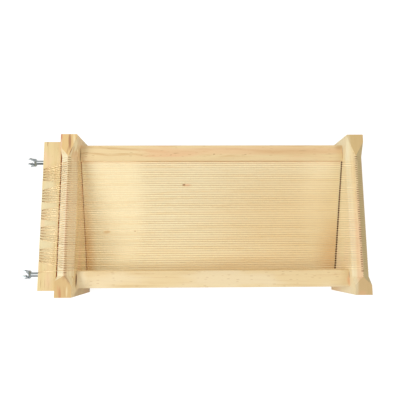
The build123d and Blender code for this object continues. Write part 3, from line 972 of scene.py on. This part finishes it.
class MakeWingScrews(bpy.types.Operator):
    """Make the two plated wing screws: thread, plain shank, flared neck, collar and wings"""

    bl_idname = "pasta_guitar.make_wing_screws"
    bl_label = "Make the wing screws"

    def execute(self, context):
        look = context.scene.screw_look

        # The bands of painted reflection run across the shank by its normal's Y.
        def flank(tree, coords):
            return parts(tree, coords["Normal"])[1]

        edge, dark, bright = look.edge, look.dark, look.plate
        stops = ((0.0, edge), (0.12, dark), (0.28, dark), (0.36, bright), (0.52, bright))
        stops += ((0.60, edge), (1.0, edge))
        plate_metal = plated("screw_painted_reflection", look, flank, stops)
        for name in ("rear_wing_screw", "front_wing_screw"):
            piece = mesh_piece(name + "_plated", self.screw(name, look), plate_metal, 32.0)
            piece.data.materials.append(self.wing_reflection_bands(name, look))
            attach(piece, name)
            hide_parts(name)
        return {"FINISHED"}

    def wing_reflection_bands(self, name, look):
        """Plating of one screw's wings, with painted reflection: darker bands along their outer and inner
        edges.
        """
        low, high, middle, _ = centred(name)

        def over(tree, coords):
            off = sums(tree, "SUBTRACT", parts(tree, coords["Object"])[1], middle)
            return sums(tree, "DIVIDE", off, (high.y - low.y) / 2)

        edge, wing, dark = look.edge, look.wing, look.dark
        stops = ((0.0, edge), (0.13, wing), (0.22, wing), (0.32, dark), (0.46, edge))
        stops += ((0.60, look.plate), (0.70, wing), (0.84, wing), (0.95, dark))
        return plated(name + "_wings", look, over, stops)

    def screw(self, name, look):
        """Bmesh of one wing screw in its place."""
        low, high, y, z = centred(name)
        tip, wing_tip, outer = high.x, low.x, (high.y - low.y) / 2
        major = 3.0 * MM
        minor = major - look.thread_depth
        plain_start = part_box("tension_bar")[0].x - look.bare_thread
        head_start = tip - look.screw_length
        neck_end = head_start - look.neck
        collar_end = neck_end - 1.6 * MM
        collar = outer - 0.5 * MM
        core = [
            (tip, 0),
            (tip, minor - 0.4 * MM),
            (tip - 0.4 * MM, minor),
            (plain_start + 0.3 * MM, minor),
            (plain_start, major - 0.03 * MM),
            (head_start + 0.3 * MM, major - 0.03 * MM),
            (head_start - 0.6 * MM, major + 0.35 * MM),
            (neck_end + 0.5 * MM, collar - 0.5 * MM),
            (neck_end, collar - 0.12 * MM),
            (neck_end - 0.35 * MM, collar),
            (collar_end + 0.35 * MM, collar),
            (collar_end, collar - 0.35 * MM),
            (collar_end, 0),
        ]
        bm = bmesh.new()
        turned(bm, core, y, z, 32)
        poured(bm, self.thread(tip, plain_start, y, z, major, minor, look))
        root, inner = collar_end + 0.5 * MM, look.wing_slot / 2
        half = [
            (root, inner * 0.5),
            (root, outer - 0.9 * MM),
            (wing_tip + 4.6 * MM, outer - 0.4 * MM),
            (wing_tip + 3.2 * MM, outer),
            (wing_tip + 1.8 * MM, outer - 0.3 * MM),
            (wing_tip + 0.7 * MM, outer - 1.1 * MM),
            (wing_tip, outer - 2.3 * MM),
            (wing_tip + 0.1 * MM, inner + 0.5 * MM),
            (wing_tip + 0.8 * MM, inner),
        ]
        for sign in (1, -1):
            outline = [(x, y + sign * off) for x, off in half]
            wing = plate(outline, z - look.wing_thickness / 2, look.wing_thickness, 0.3 * MM)
            for face in wing.faces:
                face.material_index = 1
            poured(bm, wing)
        return bm

    def thread(self, tip, end, y, z, major, minor, look):
        """Helical ridge from the tip to the plain shank, sunk a hair into the core."""
        pitch, steps = look.thread_pitch, 20
        turns = int((tip - end) / pitch) - 1
        start = tip - 0.9 * pitch
        one = bmesh.new()
        section = ((0.42, -0.06), (0.08, 1.0), (-0.08, 1.0), (-0.42, -0.06))
        verts = [
            one.verts.new((start + pitch * along, y + minor + (major - 0.02 * MM - minor) * rise, z))
            for along, rise in section
        ]
        face = one.faces.new(verts)
        ways = {"cent": (0, y, z), "axis": (-1, 0, 0), "dvec": (-pitch / steps, 0, 0)}
        bmesh.ops.spin(one, geom=[face], angle=math.tau * turns, steps=steps * turns, **ways)
        return one


class DriveWoodScrews(bpy.types.Operator):
    """Drive the countersunk cross-head wood screws through the posts into the rails"""

    bl_idname = "pasta_guitar.drive_wood_screws"
    bl_label = "Drive the wood screws"

    def execute(self, context):
        look = context.scene.screw_look
        zinc = metal("zinc_plate", look.zinc, 0.36, tone(148, 146, 138))
        left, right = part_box("left_end_post"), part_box("right_end_post")
        low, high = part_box("rail_screws")
        rail_low, rail_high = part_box("back_rail")
        head = 4.0 * MM
        one = self.cross_head()
        bm = bmesh.new()
        for face, inward in ((left[0].x, 1), (right[1].x, -1)):
            for side in (1, -1):
                y = side * (rail_low.y + rail_high.y) / 2
                for z in (low.z + head, high.z - head):
                    turn = Matrix.Rotation(0.7 * z / head + side, 4, "X")
                    flip = Matrix.Rotation(0 if inward > 0 else math.pi, 4, "Z")
                    copy = one.copy()
                    copy.transform(Matrix.Translation((face, y, z)) @ flip @ turn)
                    bm.from_mesh(copy)
                    bpy.data.meshes.remove(copy)
        bpy.data.meshes.remove(one)
        piece = mesh_piece("rail_screws_driven", bm, zinc, 32.0)
        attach(piece, "frame")
        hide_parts("rail_screws")
        return {"FINISHED"}

    def cross_head(self):
        """Mesh of one screw along +X with its head at the origin and a cross recess."""
        bm = bmesh.new()
        profile = ((0, 0), (0, 3.7), (0.22, 3.98), (0.5, 3.8), (2.4, 2), (8, 1.9), (41, 1.9), (45, 0))
        turned(bm, [(x * MM, radius * MM) for x, radius in profile], 0, 0, 24)
        bmesh.ops.recalc_face_normals(bm, faces=bm.faces)
        body = self.holder("screw_body", bm)
        cutters = []
        for size in ((2.4, 4.4, 0.9), (2.4, 0.9, 4.4)):
            bar = bmesh.new()
            bmesh.ops.create_cube(bar, size=1.0)
            bmesh.ops.scale(bar, vec=[v * MM for v in size], verts=bar.verts)
            deep = [v for v in bar.verts if v.co.x > 0]
            bmesh.ops.scale(bar, vec=(1, 0.55, 0.55), verts=deep)
            cutters.append(self.holder("recess", bar))
        for cutter in cutters:
            cut = body.modifiers.new("recess", "BOOLEAN")
            cut.operation, cut.object, cut.solver = "DIFFERENCE", cutter, "EXACT"
        bpy.context.view_layer.update()
        made = bpy.data.meshes.new_from_object(body.evaluated_get(bpy.context.evaluated_depsgraph_get()))
        for part in [body] + cutters:
            bpy.data.objects.remove(part)
        return made

    def holder(self, name, bm):
        """Passing object that holds a bmesh."""
        mesh = bpy.data.meshes.new(name)
        bm.to_mesh(mesh)
        bm.free()
        piece = bpy.data.objects.new(name, mesh)
        bpy.context.scene.collection.objects.link(piece)
        return piece


class SetNutsAndCups(bpy.types.Operator):
    """Set the tee nuts in the bar and the thrust cups in the left post"""

    bl_idname = "pasta_guitar.set_nuts_and_cups"
    bl_label = "Set the nuts and cups"

    def execute(self, context):
        look = context.scene.screw_look
        zinc = metal("zinc_fittings", look.zinc, 0.34, tone(150, 148, 140))
        for place in ("rear", "front"):
            for kind, body in (("tee_nut", "tension_bar"), ("thrust_cup", "frame")):
                name = f"{place}_{kind}"
                make = self.tee_nut if kind == "tee_nut" else self.thrust_cup
                piece = mesh_piece(name + "_zinc", make(name), zinc, 35.0)
                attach(piece, body)
                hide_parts(name)
        return {"FINISHED"}

    def tee_nut(self, name):
        """Flange, barrel with a threaded bore, and four bent prongs."""
        low, high, y, z = centred(name)
        rim, far, bore = high.x, low.x, 3.05 * MM
        seat = rim - 1.2 * MM
        profile = [
            (rim - 0.25 * MM, bore),
            (rim, bore + 0.3 * MM),
            (rim, 8.3 * MM),
            (rim - 0.35 * MM, 8.75 * MM),
            (seat, 8.75 * MM),
            (seat, 4.2 * MM),
            (seat - 0.5 * MM, 3.7 * MM),
            (far + 0.3 * MM, 3.7 * MM),
            (far, 3.4 * MM),
            (far, bore + 0.2 * MM),
            (far + 0.2 * MM, bore),
        ]
        bm = bmesh.new()
        turned(bm, profile, y, z, 28, closed=True)
        for quarter in range(4):
            prong = bmesh.new()
            bmesh.ops.create_cone(
                prong, cap_ends=True, segments=4, radius1=1.5 * MM, radius2=0.05 * MM, depth=5.6 * MM
            )
            bmesh.ops.scale(prong, vec=(1, 0.38, 1), verts=prong.verts)
            bmesh.ops.rotate(prong, matrix=Matrix.Rotation(-math.pi / 2, 3, "Y"), verts=prong.verts)
            bmesh.ops.rotate(prong, matrix=Matrix.Rotation(math.pi / 2, 3, "X"), verts=prong.verts)
            bmesh.ops.translate(prong, vec=(seat - 2.7 * MM, 0, 7.8 * MM), verts=prong.verts)
            turn = Matrix.Rotation(math.radians(45 + 90 * quarter), 3, "X")
            bmesh.ops.rotate(prong, matrix=turn, verts=prong.verts)
            bmesh.ops.translate(prong, vec=(0, y, z), verts=prong.verts)
            poured(bm, prong)
        return bm

    def thrust_cup(self, name):
        """Steel cup let into the post, with a rounded mouth."""
        low, high, y, z = centred(name)
        face, floor, bore, wall = low.x, high.x, 3.05 * MM, 4.72 * MM
        seat = floor - 1.5 * MM
        profile = [
            (seat, 0),
            (seat, bore),
            (face + 0.35 * MM, bore),
            (face + 0.02 * MM, bore + 0.4 * MM),
            (face + 0.02 * MM, wall - 0.3 * MM),
            (face + 0.3 * MM, wall),
            (floor - 0.4 * MM, wall),
            (floor, wall - 0.4 * MM),
            (floor, 0),
        ]
        bm = bmesh.new()
        turned(bm, profile, y, z, 28)
        return bm


class SetStage(bpy.types.Operator):
    """Set the pale floor, the soft lamps and the camera"""

    bl_idname = "pasta_guitar.set_stage"
    bl_label = "Set the stage"

    def execute(self, context):
        look = context.scene.stage_look
        self.floor(look)
        self.sky(context, look)
        self.lamp(context, "key_lamp", look.key, 0.8, (-1.0, -0.05, 1.12))
        self.lamp(context, "fill_lamp", look.fill, 0.8, (1.05, -0.15, 1.0))
        self.camera(context)
        context.scene.view_settings.view_transform = "Standard"
        return {"FINISHED"}

    def seen(self, tree):
        """1 for rays from the camera, and for those that a gloss or glass sends on."""
        rays = node(tree, "LightPath").outputs
        seen = sums(tree, "MAXIMUM", rays["Is Camera Ray"], rays["Is Glossy Ray"])
        return sums(tree, "MAXIMUM", seen, rays["Is Transmission Ray"])

    def floor(self, look):
        """Sheet under the object that looks white and keeps its shadow."""
        bm = bmesh.new()
        bmesh.ops.create_grid(bm, x_segments=1, y_segments=1, size=6.0)
        bmesh.ops.translate(bm, vec=(0, 0, -0.0004), verts=bm.verts)
        material, tree = new_material("floor_white")
        paint = node(tree, "BsdfDiffuse", {"Color": (*look.floor, 1)}).outputs[0]
        shaded = node(tree, "BsdfDiffuse", {"Color": (0.3, 0.3, 0.3, 1)}).outputs[0]
        white = node(tree, "Emission", {"Color": (1, 1, 1, 1), "Strength": 0.84}).outputs[0]
        lit = node(tree, "AddShader", {0: shaded, 1: white}).outputs[0]
        choice = node(tree, "MixShader", {0: self.seen(tree), 1: paint, 2: lit}).outputs[0]
        node(tree, "OutputMaterial", {"Surface": choice})
        sheet = mesh_piece("floor", bm, material)

    def sky(self, context, look):
        """Even light all round, plain white where it is seen."""
        world = bpy.data.worlds.new("studio")
        world.use_nodes = True
        tree = world.node_tree
        tree.nodes.clear()
        even = node(tree, "Background", {"Color": (1, 1, 1, 1), "Strength": look.sky}).outputs[0]
        white = node(tree, "Background", {"Color": (1, 1, 1, 1), "Strength": 1.0}).outputs[0]
        choice = node(tree, "MixShader", {0: self.seen(tree), 1: even, 2: white}).outputs[0]
        node(tree, "OutputWorld", {"Surface": choice})
        context.scene.world = world

    def lamp(self, context, name, power, size, place):
        """Square soft lamp that faces the object."""
        light = bpy.data.lights.new(name, "AREA")
        light.energy, light.size = power, size
        piece = bpy.data.objects.new(name, light)
        piece.location = place
        aim = Vector((0.03, 0, 0.05)) - Vector(place)
        piece.rotation_euler = aim.to_track_quat("-Z", "Y").to_euler()
        context.scene.collection.objects.link(piece)

    def camera(self, context):
        """Camera above the wires, a little in front of them."""
        data = bpy.data.cameras.new("camera")
        data.lens, data.sensor_width = 37.457, 36.0
        eye = bpy.data.objects.new("camera", data)
        eye.rotation_mode = "ZYX"
        eye.location = (0.0023, -0.05703, 0.59997)
        eye.rotation_euler = (0.14299, -0.01558, -0.00332)
        context.scene.collection.objects.link(eye)
        context.scene.camera = eye


class PastaGuitarPanel(bpy.types.Panel):
    """Lists the steps and their settings"""

    bl_idname = "VIEW3D_PT_pasta_guitar"
    bl_label = "Pasta Guitar"
    bl_space_type = "VIEW_3D"
    bl_region_type = "UI"
    bl_category = "Pasta Guitar"

    def draw(self, context):
        for step, look in steps:
            box = self.layout.box()
            box.operator(step.bl_idname)
            group = getattr(context.scene, look)
            for key in type(group).__annotations__:
                box.prop(group, key)


looks = {
    "post_look": PostLook,
    "rail_look": RailLook,
    "board_look": BoardLook,
    "bar_look": BarLook,
    "wire_look": WireLook,
    "nail_look": NailLook,
    "screw_look": ScrewLook,
    "stage_look": StageLook,
}
steps = (
    (DressPosts, "post_look"),
    (DressRails, "rail_look"),
    (DressBoard, "board_look"),
    (DressBar, "bar_look"),
    (StringWires, "wire_look"),
    (DriveNails, "nail_look"),
    (MakeWingScrews, "screw_look"),
    (DriveWoodScrews, "screw_look"),
    (SetNutsAndCups, "screw_look"),
    (SetStage, "stage_look"),
)


def register():
    """Register the settings, the steps and the panel."""
    for key, look in looks.items():
        bpy.utils.register_class(look)
        setattr(bpy.types.Scene, key, PointerProperty(type=look))
    for step, _ in steps:
        bpy.utils.register_class(step)
    bpy.utils.register_class(PastaGuitarPanel)


def unregister():
    """Take everything off again."""
    bpy.utils.unregister_class(PastaGuitarPanel)
    for step, _ in reversed(steps):
        bpy.utils.unregister_class(step)
    for key, look in reversed(looks.items()):
        delattr(bpy.types.Scene, key)
        bpy.utils.unregister_class(look)


def main():
    """Run every step in order."""
    register()
    for step, _ in steps:
        group, action = step.bl_idname.split(".")
        getattr(getattr(bpy.ops, group), action)()


if __name__ == "__main__":
    main()
